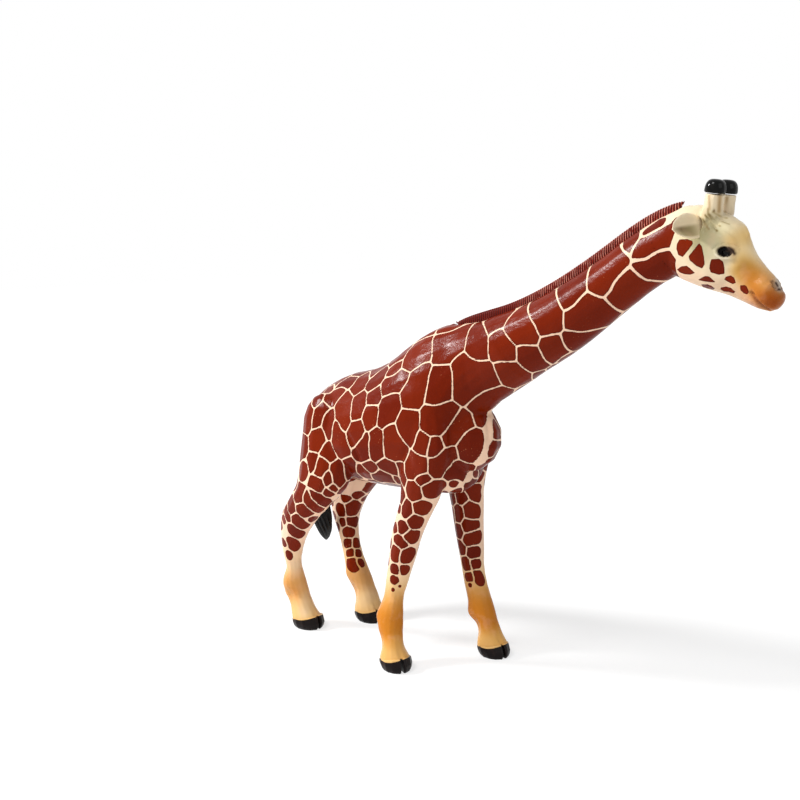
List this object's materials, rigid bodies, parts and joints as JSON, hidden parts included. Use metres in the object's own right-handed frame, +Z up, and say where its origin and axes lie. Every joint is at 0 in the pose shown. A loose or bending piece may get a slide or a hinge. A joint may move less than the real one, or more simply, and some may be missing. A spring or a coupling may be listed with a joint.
{
  "type": "toy giraffe figure",
  "caption": "Moulded toy giraffe standing in a walking pose, with plugged-in neck, head, legs, ears, horns and tail.",
  "frame": {"origin": "on the ground, under the middle of the figure's length and width", "axes": "+X towards the head, +Y towards the animal's left, +Z up"},
  "size_m": [0.2082, 0.0498, 0.1754],
  "materials": {
    "patched_skin": "satin hand-painted PVC, red-brown patches on cream",
    "cream_face": "satin hand-painted PVC, cream with olive shading",
    "mane_brown": "satin painted PVC, dark red-brown with pale ridge tops",
    "hoof_black": "satin black-brown paint",
    "gloss_black": "glossy black paint"
  },
  "bodies": {
    "root": {"torso": "patched_skin", "neck": "patched_skin", "head": "cream_face", "mane": "mane_brown", "front_leg_right": "patched_skin", "front_leg_left": "patched_skin", "hind_leg_right": "patched_skin", "hind_leg_left": "patched_skin", "front_hoof_right_outer": "hoof_black", "front_hoof_right_inner": "hoof_black", "front_hoof_left_outer": "hoof_black", "front_hoof_left_inner": "hoof_black", "hind_hoof_right_outer": "hoof_black", "hind_hoof_right_inner": "hoof_black", "hind_hoof_left_outer": "hoof_black", "hind_hoof_left_inner": "hoof_black", "ear_right": "cream_face", "ear_left": "cream_face", "ossicone_right": "cream_face", "ossicone_left": "cream_face", "ossicone_cap_right": "gloss_black", "ossicone_cap_left": "gloss_black", "eye_right": "gloss_black", "eye_left": "gloss_black", "tail": "cream_face", "tail_tuft": "hoof_black"}
  },
  "joints": []
}
